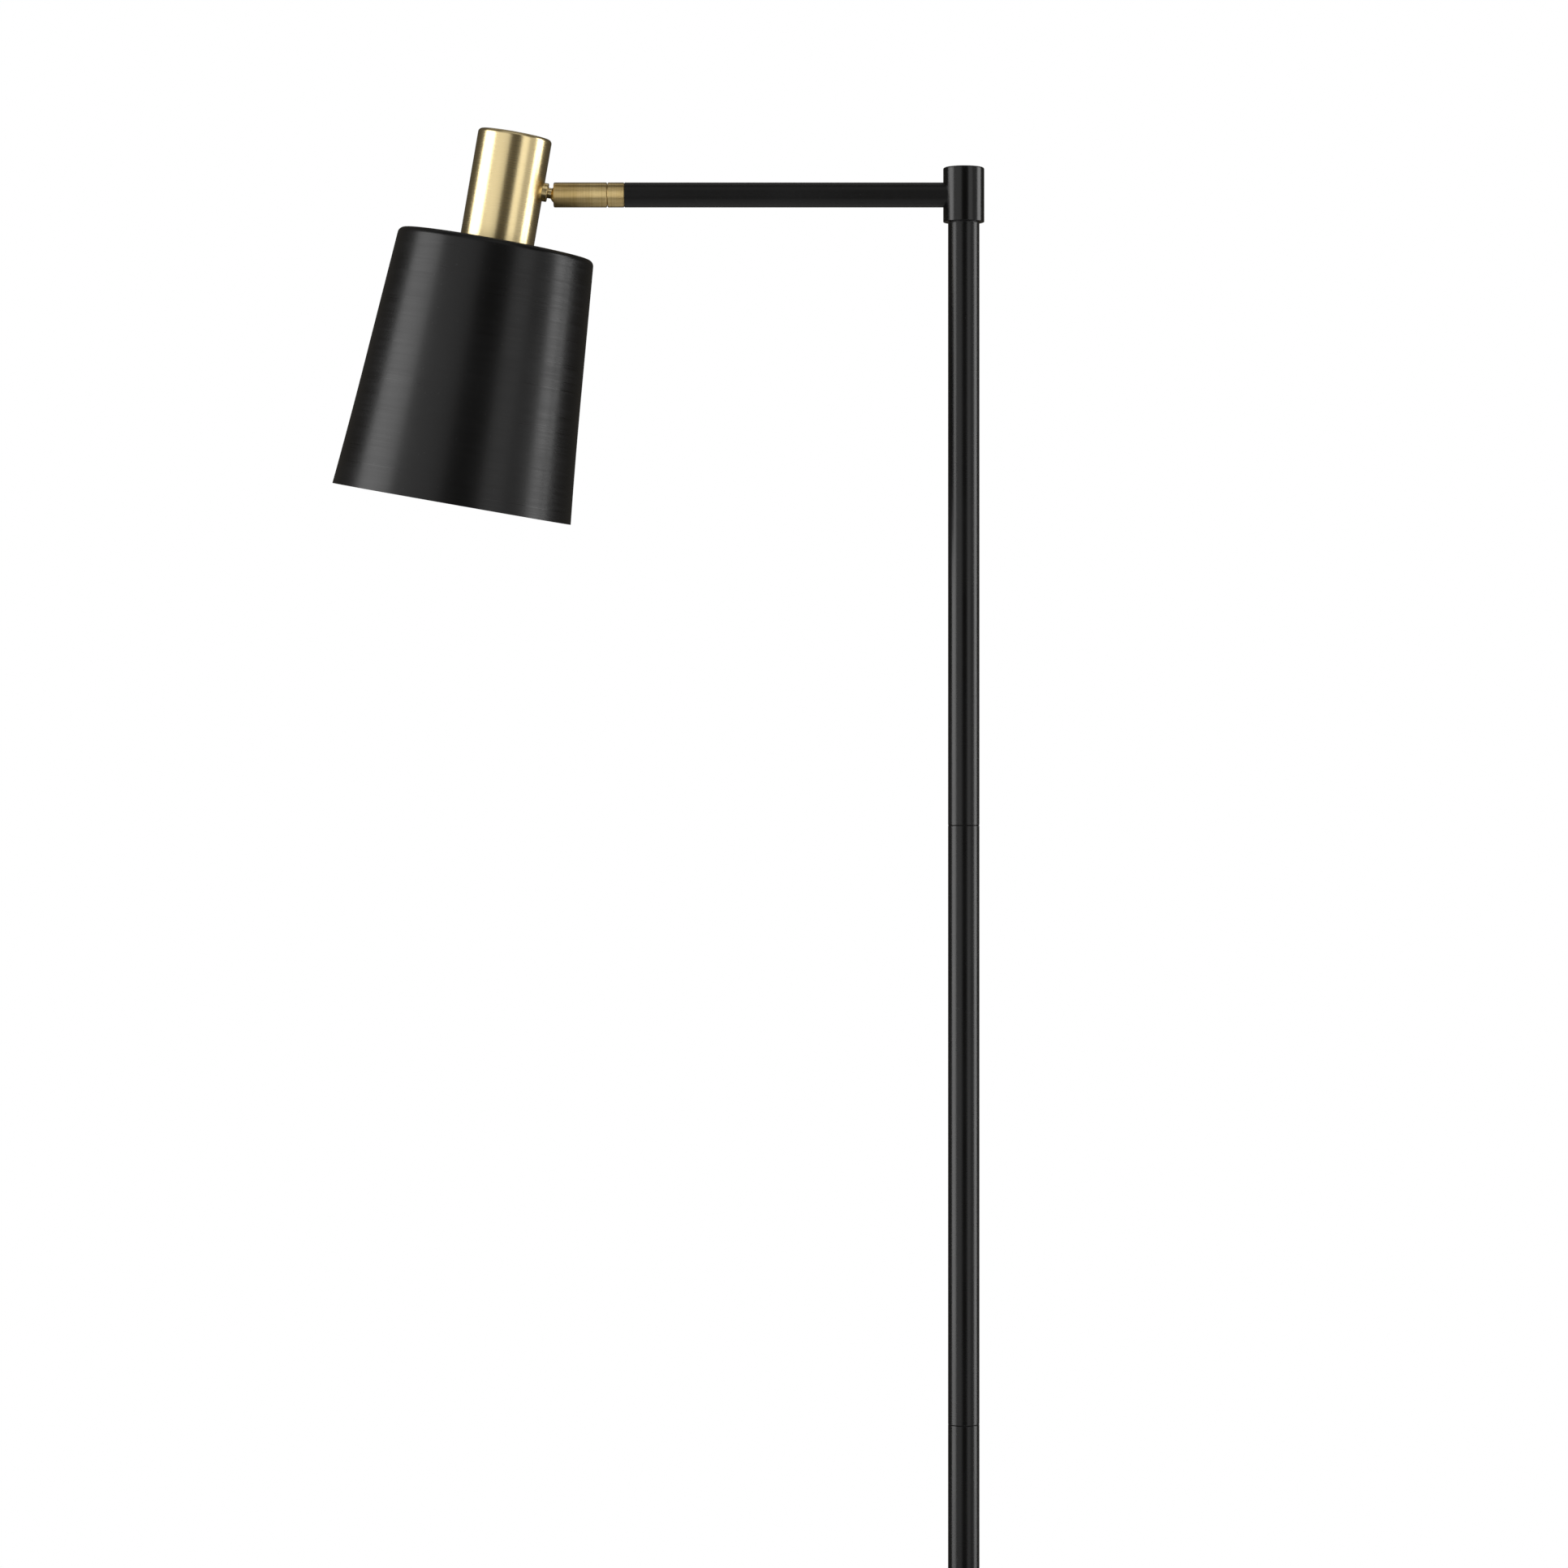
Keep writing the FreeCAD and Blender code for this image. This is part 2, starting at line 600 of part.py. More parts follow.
def holder_body():
    """Moulded screw holder: threaded barrel, shoulder and neck, with a floor that carries the shell."""
    low, high = HOLDER_FLOOR_Z
    body = disc(HOLDER_R, HOLDER_BOTTOM_Z, HOLDER_SHOULDER_Z)
    body = body.makeFillet(HOLDER_ROUND, rims(body, HOLDER_SHOULDER_Z, HOLDER_R))
    dome = disc(HOLDER_DOME_R, HOLDER_SHOULDER_Z - 1, HOLDER_DOME_Z)
    dome = dome.makeFillet(HOLDER_ROUND, rims(dome, HOLDER_DOME_Z, HOLDER_DOME_R))
    body = body.fuse(dome).removeSplitter()
    body = body.cut(disc(HOLDER_BORE_R, HOLDER_BOTTOM_Z - 1, low))
    body = body.cut(disc(HOLDER_POCKET_R, high, HOLDER_NIPPLE_Z[0]))
    body = body.cut(disc(HOLDER_NIPPLE_R, HOLDER_NIPPLE_Z[0] - 1, 0))
    for x in (-TERMINAL_X, TERMINAL_X):
        body = body.cut(disc(TERMINAL_R / 2, low - 1, high + 1, V(x, 0, 0)))
    return on_cup_axis(body)


def screw_shell():
    low, high = SHELL_Z
    shell = disc(SHELL_R, low, high).cut(disc(SHELL_R - SHELL_WALL, low - 1, high - SHELL_WALL))
    return on_cup_axis(shell.cut(disc(SHELL_HOLE_R, low, high + 1)))


def centre_contact():
    """Brass tongue under the holder's floor, pressed on the bulb's tip."""
    gap = HOLDER_FLOOR_Z[0] - BULB_TIP_Z
    corner = V(-CONTACT_L / 2, -CONTACT_W / 2, BULB_TIP_Z)
    return on_cup_axis(Part.makeBox(CONTACT_L, CONTACT_W, gap, corner))


def terminal_screws():
    solids = []
    high = HOLDER_FLOOR_Z[1]
    low = HOLDER_FLOOR_Z[0]
    for x in (-TERMINAL_X, TERMINAL_X):
        at = V(x, 0, 0)
        head = disc(TERMINAL_R, high, high + TERMINAL_HEAD_T, at)
        shank = disc(TERMINAL_R / 2, low, high, at)
        solids.append(head.fuse(shank).removeSplitter())
    return on_cup_axis(Part.makeCompound(solids))


def shade_side(offset):
    """Side outline of the shade a distance inside its outer face: cone, then a flare to the rim."""
    slope = math.tan(math.radians(SHADE_CONE_ANGLE))
    cone_r = SHADE_TOP_R + slope * SHADE_STRAIGHT_H
    middle_h = (SHADE_STRAIGHT_H + SHADE_H) / 2
    middle_r = SHADE_TOP_R + slope * middle_h
    return [(cone_r - offset, SHADE_TOP - SHADE_STRAIGHT_H),
            (middle_r - offset, SHADE_TOP - middle_h, "bend"),
            (SHADE_RIM_R - offset, SHADE_TOP - SHADE_H)]


def shade():
    """Spun shade: flat top with a rounded edge, conical side, slightly flared mouth."""
    outer_side = shade_side(0)
    inner_side = shade_side(SHADE_WALL)
    inner_top = SHADE_TOP - SHADE_WALL
    start_r = SHADE_TOP_R - SHADE_WALL
    body = turned([(0, SHADE_TOP), (SHADE_TOP_R, SHADE_TOP)] + outer_side
                  + [(0, SHADE_TOP - SHADE_H)])
    body = body.makeFillet(SHADE_EDGE_ROUND, rims(body, SHADE_TOP, SHADE_TOP_R))
    hollow = turned([(0, inner_top), (start_r, inner_top)] + inner_side
                    + [(0, SHADE_TOP - SHADE_H)])
    hollow = hollow.makeFillet(SHADE_EDGE_ROUND - SHADE_WALL, rims(hollow, inner_top, start_r))
    return on_cup_axis(body.cut(hollow).cut(disc(SHADE_HOLE_R, SHADE_TOP - 5, SHADE_TOP + 1)))


def shade_ring():
    z1 = SHADE_TOP - SHADE_WALL
    z0 = z1 - RING_H
    hub = disc(RING_HUB_R, z0, z1)
    plate = disc(RING_R, z1 - RING_T, z1)
    return on_cup_axis(hub.fuse(plate).cut(disc(HOLDER_R, z0 - 1, z1 + 1)).removeSplitter())


def bulb_outline(inset):
    """Outline of the glass at a distance inside its outer face, neck to crown."""
    top = BULB_BASE_Z[0]
    centre_z = BULB_TIP_Z - BULB_LENGTH + BULB_R
    drop = top - centre_z
    neck = BULB_NECK_R
    blend = (neck ** 2 + drop ** 2 - BULB_R ** 2) / (2 * (BULB_R - neck))
    turn = math.atan2(drop, neck + blend)
    big = BULB_R - inset
    small = blend + inset
    first = V(big * math.cos(turn), 0, centre_z + big * math.sin(turn))
    mid_turn = math.pi + turn / 2
    middle = V(neck + blend + small * math.cos(mid_turn), 0, top + small * math.sin(mid_turn))
    side = (turn - math.pi / 2) / 2
    crown = V(big * math.cos(side), 0, centre_z + big * math.sin(side))
    return [(0, top), (neck - inset, top), (middle.x, middle.z, "arc"), (first.x, first.z),
            (crown.x, crown.z, "arc"), (0, centre_z - big)]


def bulb_glass():
    return on_cup_axis(turned(bulb_outline(0)).cut(turned(bulb_outline(BULB_WALL))))


def bulb_base():
    low, high = BULB_BASE_Z
    shoulder = high - BULB_SHOULDER_H
    floor_z = high - BULB_SHOULDER_H / 2
    w = BULB_BASE_WALL
    r = BULB_BASE_R
    return on_cup_axis(turned([
        (r - w, low), (r, low), (r, shoulder), (BULB_TIP_R + BULB_SHOULDER_IN, high),
        (BULB_TIP_R, high), (BULB_TIP_R - BULB_TIP_TAPER, BULB_TIP_Z), (0, BULB_TIP_Z),
        (0, floor_z - w), (BULB_TIP_R, floor_z - w), (r - w, shoulder - w)]))


def head_lead():
    start = BALL_R - STUD_FLARE_DEPTH - LEAD_GAP / 2
    loop = (HEAD_OFFSET - LEAD_RISE_X) / 2
    high = LEAD_LOOP_Z + loop
    end = HOLDER_NIPPLE_Z[0] - LEAD_TAIL
    route = [V(start, 0, 0), V(-LEAD_RISE_X, 0, 0), V(-LEAD_RISE_X, 0, high),
             V(-HEAD_OFFSET, 0, high), V(-HEAD_OFFSET, 0, end)]
    return lead(route, [STUD_BEND, loop, loop], LEAD_R)


def build_head():
    save("ball_stud", in_head(ball_stud()))
    save("neck_flange", in_head(neck_flange()))
    save("stud_washer", in_head(stud_washer()))
    save("stud_nut", in_head(stud_nut()))
    save("cup", in_head(cup()))
    save("holder_bridge", in_head(holder_bridge()))
    a, b = HOLDER_NIPPLE_Z
    nipple = on_cup_axis(ring(HOLDER_NIPPLE_R, HOLDER_NIPPLE_BORE_R, a, b))
    save("holder_nipple", in_head(nipple))
    save("holder_nuts", in_head(holder_nuts()))
    save("holder_body", in_head(holder_body()))
    save("screw_shell", in_head(screw_shell()))
    save("centre_contact", in_head(centre_contact()))
    save("terminal_screws", in_head(terminal_screws()))
    save("shade_ring", in_head(shade_ring()))
    save("shade", in_head(shade()))
    save("bulb_base", in_head(bulb_base()))
    save("bulb_glass", in_head(bulb_glass()))
    save("head_lead", in_head(head_lead()))


build_stand()
build_arm()
build_socket()
build_head()
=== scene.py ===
import json
import math

import bpy
import bmesh
from mathutils import Matrix, Vector


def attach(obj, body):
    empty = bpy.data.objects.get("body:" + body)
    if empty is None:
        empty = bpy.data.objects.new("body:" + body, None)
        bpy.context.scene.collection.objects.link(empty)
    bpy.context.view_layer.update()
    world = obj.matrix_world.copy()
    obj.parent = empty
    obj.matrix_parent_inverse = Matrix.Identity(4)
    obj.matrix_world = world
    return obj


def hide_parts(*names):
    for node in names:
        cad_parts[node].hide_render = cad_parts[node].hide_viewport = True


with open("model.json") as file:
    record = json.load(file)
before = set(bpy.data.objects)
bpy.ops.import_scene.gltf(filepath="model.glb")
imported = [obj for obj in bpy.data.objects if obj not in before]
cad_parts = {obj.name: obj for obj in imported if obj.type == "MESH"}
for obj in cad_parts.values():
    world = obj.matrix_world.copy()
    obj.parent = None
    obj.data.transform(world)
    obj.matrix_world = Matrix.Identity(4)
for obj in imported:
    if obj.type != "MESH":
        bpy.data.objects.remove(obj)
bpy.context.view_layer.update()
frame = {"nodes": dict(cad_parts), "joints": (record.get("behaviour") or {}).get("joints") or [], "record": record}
NODES = frame["nodes"]
scene = bpy.context.scene

# ---- node material helpers ---------------------------------------------------------------
NOISE_SPAN = (0.3, 0.7)       # where most values of a noise lie
NOISE_CORE = (0.35, 0.65)
STAIN_SPAN = (0.36, 0.64)
SPECK_SPAN = (0.74, 0.8)      # only the rare peaks of a noise
FULL = (0.0, 1.0)


class Mat:
    """Small builder for procedural materials."""

    def __init__(self, name):
        self.mat = bpy.data.materials.new(name)
        self.mat.use_nodes = True
        self.tree = self.mat.node_tree
        self.shader = self.tree.nodes["Principled BSDF"]

    def set(self, **values):
        for key, value in values.items():
            self.shader.inputs[key.replace("_", " ")].default_value = value

    def node(self, kind, **attrs):
        n = self.tree.nodes.new(kind)
        for key, value in attrs.items():
            setattr(n, key, value)
        return n

    def link(self, a, b):
        self.tree.links.new(a, b)

    def to(self, source, socket):
        self.link(source, self.shader.inputs[socket])

    def coords(self):
        """Object coordinates: the frame's own metres, since every node sits at the origin."""
        return self.node("ShaderNodeTexCoord").outputs["Object"]

    def scaled(self, source, scale):
        m = self.node("ShaderNodeMapping")
        m.inputs["Scale"].default_value = scale
        self.link(source, m.inputs["Vector"])
        return m.outputs["Vector"]

    def noise(self, vector, scale, detail=3.0, rough=0.55):
        n = self.node("ShaderNodeTexNoise")
        n.inputs["Scale"].default_value = scale
        n.inputs["Detail"].default_value = detail
        n.inputs["Roughness"].default_value = rough
        self.link(vector, n.inputs["Vector"])
        return n.outputs["Fac"]

    def remap(self, value, span, to_span):
        m = self.node("ShaderNodeMapRange")
        m.inputs["From Min"].default_value = span[0]
        m.inputs["From Max"].default_value = span[1]
        m.inputs["To Min"].default_value = to_span[0]
        m.inputs["To Max"].default_value = to_span[1]
        self.link(value, m.inputs["Value"])
        return m.outputs["Result"]

    def math(self, op, a, b):
        m = self.node("ShaderNodeMath", operation=op)
        for i, v in enumerate((a, b)):
            if isinstance(v, float):
                m.inputs[i].default_value = v
            else:
                self.link(v, m.inputs[i])
        return m.outputs["Value"]

    def share(self, a, part, b):
        """A part of one value and the rest of another."""
        return self.math("ADD", self.math("MULTIPLY", a, part), self.math("MULTIPLY", b, 1.0 - part))

    def blend(self, fac, a, b):
        """Mix of two colours, each an (r, g, b) or a socket."""
        m = self.node("ShaderNodeMix", data_type="RGBA")
        self.link(fac, m.inputs["Factor"])
        first_colour = 6
        for key, v in enumerate((a, b), first_colour):
            if isinstance(v, tuple):
                m.inputs[key].default_value = (*v, 1.0)
            else:
                self.link(v, m.inputs[key])
        return m.outputs[2]

    def bump(self, height, distance, strength, after=None):
        b = self.node("ShaderNodeBump")
        b.inputs["Distance"].default_value = distance
        b.inputs["Strength"].default_value = strength
        self.link(height, b.inputs["Height"])
        if after is not None:
            self.link(after, b.inputs["Normal"])
        return b.outputs["Normal"]

    def drawn_out(self, amount):
        """Highlights drawn out across turned lines that run round local Z."""
        tangent = self.node("ShaderNodeTangent", direction_type="RADIAL", axis="Z")
        self.to(tangent.outputs["Tangent"], "Tangent")
        self.set(Anisotropic=amount, Anisotropic_Rotation=0.25)

    def ring_coord(self, origin, axis):
        """Distance run along a turned surface, for marks left round an axis: height plus radius.
        Also gives the vector that turns with the angle round the axis."""
        shift = self.node("ShaderNodeVectorMath", operation="SUBTRACT")
        shift.inputs[1].default_value = origin
        self.link(self.coords(), shift.inputs[0])
        along = self.node("ShaderNodeVectorMath", operation="DOT_PRODUCT")
        along.inputs[1].default_value = axis
        self.link(shift.outputs["Vector"], along.inputs[0])
        around = self.node("ShaderNodeVectorMath", operation="CROSS_PRODUCT")
        around.inputs[1].default_value = axis
        self.link(shift.outputs["Vector"], around.inputs[0])
        radius = self.node("ShaderNodeVectorMath", operation="LENGTH")
        self.link(around.outputs["Vector"], radius.inputs[0])
        run = self.math("ADD", along.outputs["Value"], radius.outputs["Value"])
        return run, around.outputs["Vector"]

    def turned_noise(self, run, around, per_metre, drift=6.0, detail=2.0):
        """Noise drawn out into fine lines round the axis; drift is how fast a line changes."""
        pick = self.node("ShaderNodeCombineXYZ")
        self.link(self.math("MULTIPLY", run, per_metre), pick.inputs["X"])
        slow = self.node("ShaderNodeVectorMath", operation="SCALE")
        slow.inputs["Scale"].default_value = drift
        self.link(around, slow.inputs[0])
        add = self.node("ShaderNodeVectorMath", operation="ADD")
        self.link(pick.outputs["Vector"], add.inputs[0])
        self.link(slow.outputs["Vector"], add.inputs[1])
        return self.noise(add.outputs["Vector"], 1.0, detail)


LOCAL = (0.0, 0.0, 0.0)
UP = (0.0, 0.0, 1.0)


def satin_black(name, rough, grain, origin=LOCAL, axis=UP, specular=0.5, draw=0.0, coat=0.08):
    """Satin black coat over the fine lines of a spun or drawn metal; grain is how strong they are."""
    deep = (0.0016, 0.0016, 0.0018)
    lifted = (0.005, 0.005, 0.0055)
    dust = (0.04, 0.04, 0.042)
    relief = 0.00003
    m = Mat(name)
    co = m.coords()
    cloud = m.noise(co, scale=14.0, detail=4.0)
    peel = m.noise(co, scale=1500.0, detail=2.0)
    speck = m.noise(co, scale=520.0, detail=1.0, rough=0.4)
    colour = m.blend(m.remap(cloud, NOISE_SPAN, FULL), deep, lifted)
    m.to(m.blend(m.remap(speck, SPECK_SPAN, (0.0, 0.3)), colour, dust), "Base Color")
    run, around = m.ring_coord(origin, axis)
    lines = m.turned_noise(run, around, per_metre=2600.0)
    broad = m.turned_noise(run, around, per_metre=420.0, drift=10.0, detail=3.0)
    both = m.share(lines, 0.7, broad)
    wander = m.remap(cloud, NOISE_SPAN, (rough - 0.03, rough + 0.04))
    m.to(m.math("ADD", wander, m.remap(both, NOISE_SPAN, (-0.10 * grain, 0.10 * grain))), "Roughness")
    m.to(m.bump(both, relief, 0.5 * grain, after=m.bump(peel, relief, 0.35)), "Normal")
    m.set(IOR=1.5, Specular_IOR_Level=specular, Coat_Weight=coat, Coat_Roughness=0.2)
    if draw:
        m.drawn_out(draw)
    return m.mat


def brass(name, light, dark, rough, lines_per_m, depth, origin=LOCAL, axis=UP,
          coat=0.35, draw=0.0, relief=0.6, swing=0.05):
    """Turned brass under lacquer: fine lines round the axis, a little tarnish between them."""
    m = Mat(name)
    cloud = m.noise(m.coords(), scale=55.0, detail=4.0)
    run, around = m.ring_coord(origin, axis)
    lines = m.turned_noise(run, around, per_metre=lines_per_m)
    broad = m.turned_noise(run, around, per_metre=lines_per_m * 0.16, drift=12.0, detail=3.0)
    both = m.share(lines, 0.65, broad)
    stain = m.share(both, 0.6, cloud)
    m.to(m.blend(m.remap(stain, STAIN_SPAN, FULL), dark, light), "Base Color")
    m.to(m.remap(both, NOISE_SPAN, (rough + swing, rough - swing)), "Roughness")
    m.to(m.bump(both, depth, relief), "Normal")
    m.set(Metallic=1.0, Coat_Weight=coat, Coat_Roughness=0.22)
    if draw:
        m.drawn_out(draw)
    return m.mat


def plated(name, light, dark, rough):
    """Zinc-plated or aluminium small parts."""
    m = Mat(name)
    co = m.coords()
    spangle = m.noise(co, scale=420.0)
    fine = m.noise(m.scaled(co, (300, 300, 2600)), scale=1.0, detail=2.0)
    m.to(m.blend(m.remap(spangle, NOISE_CORE, FULL), dark, light), "Base Color")
    m.to(m.remap(fine, NOISE_SPAN, (rough - 0.06, rough + 0.08)), "Roughness")
    m.to(m.bump(fine, 0.00002, 0.4), "Normal")
    m.set(Metallic=1.0)
    return m.mat


def moulded(name, light, dark, rough, grain_scale=900.0, depth=0.00004):
    """Moulded plastic, rubber, fibre or enamel: fine texture and a slow drift of tone."""
    m = Mat(name)
    co = m.coords()
    drift = m.noise(co, scale=40.0)
    grain = m.noise(co, scale=grain_scale)
    m.to(m.blend(m.remap(drift, NOISE_CORE, FULL), dark, light), "Base Color")
    m.to(m.remap(grain, NOISE_SPAN, (rough - 0.05, rough + 0.06)), "Roughness")
    m.to(m.bump(grain, depth, 0.5), "Normal")
    return m.mat


def cast_iron(name):
    """Rough casting: sandy skin with shallow pits."""
    light = (0.12, 0.115, 0.11)
    dark = (0.05, 0.048, 0.046)
    m = Mat(name)
    co = m.coords()
    pits = m.node("ShaderNodeTexVoronoi")
    pits.inputs["Scale"].default_value = 420.0
    m.link(co, pits.inputs["Vector"])
    sand = m.noise(co, scale=700.0, detail=5.0)
    surface = m.math("ADD", sand, m.math("MULTIPLY", pits.outputs["Distance"], 0.5))
    m.to(m.blend(m.remap(sand, NOISE_SPAN, FULL), dark, light), "Base Color")
    m.to(m.remap(sand, NOISE_SPAN, (0.55, 0.75)), "Roughness")
    m.to(m.bump(surface, 0.0003, 0.7), "Normal")
    m.set(Metallic=0.4)
    return m.mat


def frosted_glass(name):
    """Opal glass: a white coat on the inside of the bulb, glossy outside."""
    light = (0.88, 0.875, 0.85)
    dark = (0.80, 0.79, 0.76)
    m = Mat(name)
    haze = m.noise(m.coords(), scale=30.0)
    m.to(m.blend(m.remap(haze, NOISE_SPAN, FULL), dark, light), "Base Color")
    m.to(m.remap(haze, NOISE_SPAN, (0.16, 0.24)), "Roughness")
    m.set(Subsurface_Weight=0.3, Subsurface_Scale=0.01, Subsurface_Radius=(1.0, 0.9, 0.8))
    m.set(Coat_Weight=0.4, Coat_Roughness=0.05)
    return m.mat


# ---- mesh helpers ------------------------------------------------------------------------
MM = 0.001
SEGMENTS = 192
THREAD_SEGMENTS = 144
ON_AXIS = 1e-4


def rounded(points, steps=6):
    """Closed outline from (r, z, radius) corners in mm, each corner turned to its own radius."""
    out = []
    count = len(points)
    for i, (r, z, radius) in enumerate(points):
        here = Vector((r, z))
        if radius <= 0:
            out.append((r, z))
            continue
        before = Vector(points[i - 1][:2]) - here
        after = Vector(points[(i + 1) % count][:2]) - here
        half = before.angle(after) / 2
        reach = min(radius / math.tan(half), before.length * 0.49, after.length * 0.49)
        radius = reach * math.tan(half)
        start = here + before.normalized() * reach
        end = here + after.normalized() * reach
        inwards = (before.normalized() + after.normalized()).normalized()
        centre = here + inwards * (radius / math.sin(half))
        sweep = (start - centre).angle_signed(end - centre)
        for k in range(steps + 1):
            spoke = Matrix.Rotation(-sweep * k / steps, 2) @ (start - centre)
            out.append(tuple(centre + spoke))
    return out


def circle(bm, z, segments, radius_at):
    """Ring of vertices at height z in mm; radius_at(angle) gives the radius in mm."""
    ring = []
    for k in range(segments):
        a = 2 * math.pi * k / segments
        r = radius_at(a) * MM
        ring.append(bm.verts.new((r * math.cos(a), r * math.sin(a), z * MM)))
    return ring


def skin(bm, rings, segments, pick=None):
    """Closes rings into a tube that ends where it starts. A ring of one vertex is a point on the
    axis; pick(i) gives the material of the faces after ring i."""
    for i, ring in enumerate(rings):
        after = rings[(i + 1) % len(rings)]
        if len(ring) == 1 and len(after) == 1:
            continue
        for k in range(segments):
            n = k + 1
            corners = [ring[k % len(ring)], ring[n % len(ring)],
                       after[n % len(after)], after[k % len(after)]]
            face = bm.faces.new(list(dict.fromkeys(corners)))
            face.material_index = pick(i) if pick else 0


def finish_mesh(name, bm, matrix, materials, sharp):
    """Mesh object from a bmesh; edges sharper than sharp degrees stay crisp."""
    bmesh.ops.recalc_face_normals(bm, faces=bm.faces)
    mesh = bpy.data.meshes.new(name)
    bm.to_mesh(mesh)
    bm.free()
    mesh.shade_smooth()
    mesh.set_sharp_from_angle(angle=math.radians(sharp))
    for material in materials:
        mesh.materials.append(material)
    obj = bpy.data.objects.new(name, mesh)
    scene.collection.objects.link(obj)
    obj.matrix_world = matrix
    return obj


def lathe(name, outline, matrix, materials, pick=None, segments=SEGMENTS, sharp=35.0):
    """Turns a closed outline of (r, z) in mm about local Z. pick(i) gives the material of side i."""
    bm = bmesh.new()
    rings = []
    for r, z in outline:
        if r < ON_AXIS:
            rings.append([bm.verts.new((0, 0, z * MM))])
        else:
            rings.append(circle(bm, z, segments, lambda a, r=r: r))
    skin(bm, rings, segments, pick)
    return finish_mesh(name, bm, matrix, materials, sharp)


def threaded(name, outline, matrix, materials, thread):
    """Turned piece whose outer wall follows a helix. thread is (low, high, pitch, depth, wall)
    in mm: it is cut between the two heights, into the points outside the radius wall."""
    low, high, pitch, depth, wall = thread
    bm = bmesh.new()
    rings = []
    for r, z in outline:
        cut = 0.0
        if r > wall and low <= z <= high:
            cut = depth * min(1.0, (z - low) / pitch, (high - z) / pitch)
        turn = 2 * math.pi * z / pitch
        rings.append(circle(bm, z, THREAD_SEGMENTS,
                            lambda a, r=r, cut=cut, turn=turn: r + cut * (0.5 * math.cos(turn - a) - 0.5)))
    skin(bm, rings, THREAD_SEGMENTS)
    return finish_mesh(name, bm, matrix, materials, 60.0)


# ---- where things are --------------------------------------------------------------------
JOINTS = {j["name"]: j for j in frame["joints"]}
BALL = Vector(JOINTS["head_tilt"]["pos_m"])
ARM_Z = BALL.z
BALL_ALONG = 245.0            # mm from the pole's axis to the ball's centre
HEAD_TILT = 10.0
HEAD_ROLL = 3.0
HEAD_OFFSET = 32.7            # mm from the ball's centre to the cup's axis
TURN_HEAD = (Matrix.Rotation(math.radians(HEAD_ROLL), 4, "X")
             @ Matrix.Rotation(math.radians(HEAD_TILT), 4, "Y"))
CUP_FRAME = Matrix.Translation(BALL) @ TURN_HEAD @ Matrix.Translation((-HEAD_OFFSET * MM, 0, 0))
ARM_FRAME = Matrix.Translation((0, 0, ARM_Z)) @ Matrix.Rotation(math.radians(-90), 4, "Y")
STUD_AXIS = tuple((TURN_HEAD @ Vector((-1, 0, 0))).normalized())

# ---- materials ---------------------------------------------------------------------------
M_SHADE = satin_black("shade_black", rough=0.35, grain=1.0, specular=0.32, draw=0.3)
M_ENAMEL = moulded("shade_enamel", (0.80, 0.79, 0.77), (0.74, 0.735, 0.715), 0.4, 700.0, 0.00003)
M_POLE = satin_black("pole_black", rough=0.27, grain=0.15, specular=0.32)
M_COLLAR = satin_black("collar_black", rough=0.22, grain=0.3, specular=0.34)
M_ARM = satin_black("arm_black", rough=0.42, grain=0.5, origin=(0, 0, ARM_Z), axis=(1, 0, 0),
                    specular=0.34)
M_BASE = satin_black("base_black", rough=0.62, grain=0.3, specular=0.2, coat=0.0)
M_CUP = brass("cup_brass", (0.83, 0.68, 0.37), (0.80, 0.645, 0.335), rough=0.28, lines_per_m=5200.0,
              depth=0.000003, coat=0.5, draw=0.5, relief=0.15, swing=0.02)
M_SLEEVE = brass("sleeve_brass", (0.96, 0.77, 0.39), (0.66, 0.47, 0.19), rough=0.48,
                 lines_per_m=1500.0, depth=0.00004, coat=0.15, draw=0.85)
M_STUD = brass("stud_brass", (0.98, 0.80, 0.43), (0.84, 0.64, 0.31), rough=0.26,
               lines_per_m=2500.0, depth=0.00002, origin=tuple(BALL), axis=STUD_AXIS)
M_PLAIN_BRASS = brass("plain_brass", (0.83, 0.66, 0.34), (0.66, 0.48, 0.22), rough=0.25,
                      lines_per_m=1600.0, depth=0.00003)
M_ZINC = plated("zinc_steel", (0.72, 0.72, 0.71), (0.52, 0.53, 0.54), 0.32)
M_BULB_METAL = plated("bulb_metal", (0.82, 0.82, 0.83), (0.66, 0.66, 0.68), 0.26)
M_IRON = cast_iron("cast_iron")
M_PAD = moulded("pad_foam", (0.045, 0.045, 0.047), (0.022, 0.022, 0.023), 0.9, 1300.0, 0.0003)
M_PLASTIC = moulded("black_plastic", (0.035, 0.035, 0.036), (0.02, 0.02, 0.021), 0.5)
M_NYLON = moulded("nylon", (0.78, 0.77, 0.72), (0.7, 0.69, 0.64), 0.45)
M_FIBRE = moulded("fibre", (0.33, 0.1, 0.06), (0.24, 0.07, 0.045), 0.7)
M_SHEATH = moulded("lead_sheath", (0.6, 0.59, 0.56), (0.52, 0.51, 0.48), 0.55)
M_PHENOLIC = moulded("phenolic", (0.045, 0.04, 0.035), (0.02, 0.018, 0.016), 0.25, 300.0, 0.00002)
M_GLASS = frosted_glass("bulb_frost")

SLOT_LOOK = {
    "satin_black": M_POLE, "satin_brass": M_CUP, "dark_brass": M_STUD, "plain_brass": M_PLAIN_BRASS,
    "cast_iron": M_IRON, "zinc_steel": M_ZINC, "pad_rubber": M_PAD, "black_plastic": M_PLASTIC,
    "nylon": M_NYLON, "fibre": M_FIBRE, "lead_sheath": M_SHEATH, "phenolic": M_PHENOLIC,
    "bulb_metal": M_BULB_METAL, "frosted_glass": M_GLASS,
}
NODE_LOOK = {"arm_tube": M_ARM, "collar": M_COLLAR, "collar_cap": M_COLLAR, "base_cover": M_BASE}

